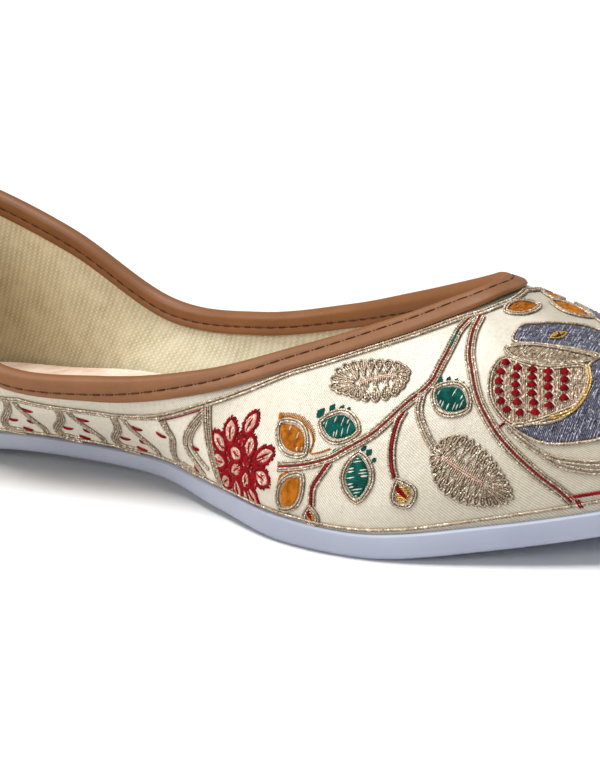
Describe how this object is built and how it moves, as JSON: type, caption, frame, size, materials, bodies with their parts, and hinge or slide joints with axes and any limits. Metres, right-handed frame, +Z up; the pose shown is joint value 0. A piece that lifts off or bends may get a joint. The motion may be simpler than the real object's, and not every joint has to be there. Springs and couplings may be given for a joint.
{
  "type": "mojari shoe",
  "caption": "Low slip-on mojari shoe for the right foot: embroidered hollow upper, leather bound collar, insole and thin moulded sole.",
  "frame": {"origin": "middle of the bounding box's bottom face, on the floor under the shoe", "axes": "+X from heel to toe, +Y towards the inner (big toe) side, +Z up"},
  "size_m": [0.254, 0.0798, 0.0652],
  "materials": {
    "sole": "pale bluish moulded sole, satin",
    "insole": "pinkish beige soft lining leather, matt",
    "upper": "cream satin with couched metal thread and coloured silk embroidery, cream canvas lining",
    "binding": "tan leather, machine stitched with dark brown thread"
  },
  "bodies": {
    "root": {"outsole": "sole", "insole": "insole", "upper": "upper", "binding": "binding"}
  },
  "joints": []
}
